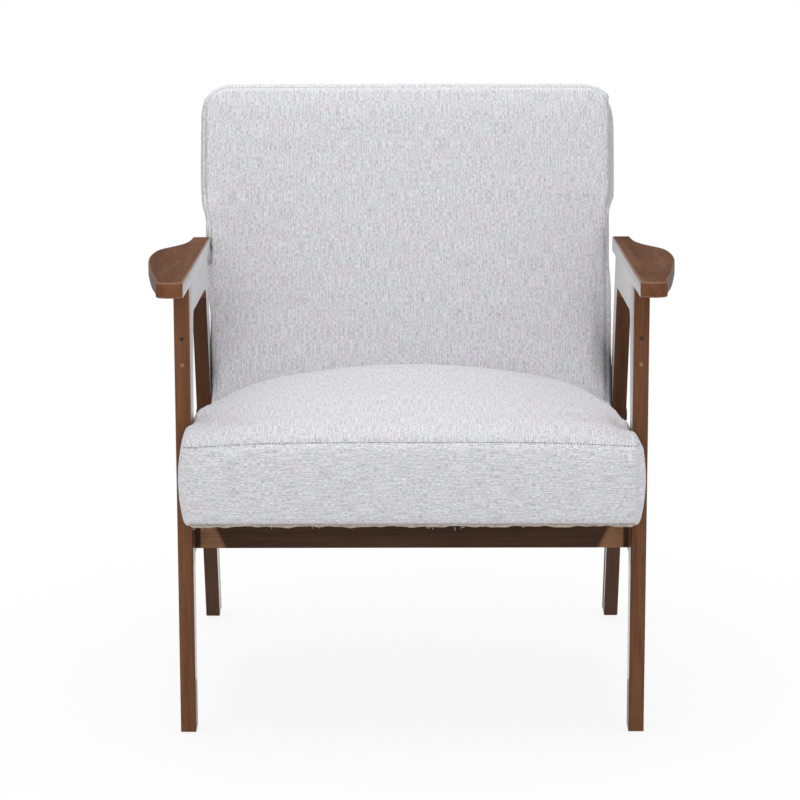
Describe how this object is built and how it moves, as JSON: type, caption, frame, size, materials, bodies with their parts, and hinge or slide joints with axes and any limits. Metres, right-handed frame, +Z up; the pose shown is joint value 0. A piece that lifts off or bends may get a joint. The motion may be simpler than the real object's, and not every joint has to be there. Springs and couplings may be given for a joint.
{
  "type": "accent chair",
  "caption": "Upholstered accent armchair: flat wooden side frames with wide curved armrests carry a crowned seat cushion and a leaning back cushion.",
  "frame": {"origin": "middle of the chair's footprint box, on the floor", "axes": "+Z up, the chair faces -Y, +X to the right as seen from in front"},
  "size_m": [0.6942, 0.7086, 0.7885],
  "materials": {
    "stained_wood": "dark brown stain, satin lacquer",
    "inner_wood": "bare",
    "dark_steel": "dark bronze coating",
    "zinc_steel": "zinc plated",
    "glide_plastic": "matte",
    "linen_weave": "light grey slub linen weave",
    "foam": "open-cell foam",
    "felt": "needled felt",
    "webbing": "woven elastic webbing",
    "black_cambric": "non-woven"
  },
  "bodies": {
    "root": {"front_leg_left": "stained_wood", "front_leg_right": "stained_wood", "rear_leg_left": "stained_wood", "rear_leg_right": "stained_wood", "arm_rail_left": "stained_wood", "arm_rail_right": "stained_wood", "seat_side_rail_left": "stained_wood", "seat_side_rail_right": "stained_wood", "armrest_left": "stained_wood", "armrest_right": "stained_wood", "front_rail": "stained_wood", "rear_rail": "stained_wood", "leg_plugs": "stained_wood", "corner_blocks": "inner_wood", "arm_dowels": "inner_wood", "rail_dowels": "inner_wood", "frame_bolts": "dark_steel", "barrel_nuts": "zinc_steel", "back_bolts": "dark_steel", "back_inserts": "zinc_steel", "seat_screws": "zinc_steel", "foot_glides": "glide_plastic", "seat_frame_front": "inner_wood", "seat_frame_rear": "inner_wood", "seat_frame_side_left": "inner_wood", "seat_frame_side_right": "inner_wood", "seat_webbing": "webbing", "seat_felt": "felt", "seat_foam": "foam", "seat_cover": "linen_weave", "dust_cover": "black_cambric", "back_post_left": "inner_wood", "back_post_right": "inner_wood", "back_top_rail": "inner_wood", "back_lumbar_rail": "inner_wood", "back_bottom_rail": "inner_wood", "back_webbing": "webbing", "back_foam": "foam", "back_wadding": "foam", "back_cover": "linen_weave", "back_outside_panel": "linen_weave"}
  },
  "joints": []
}
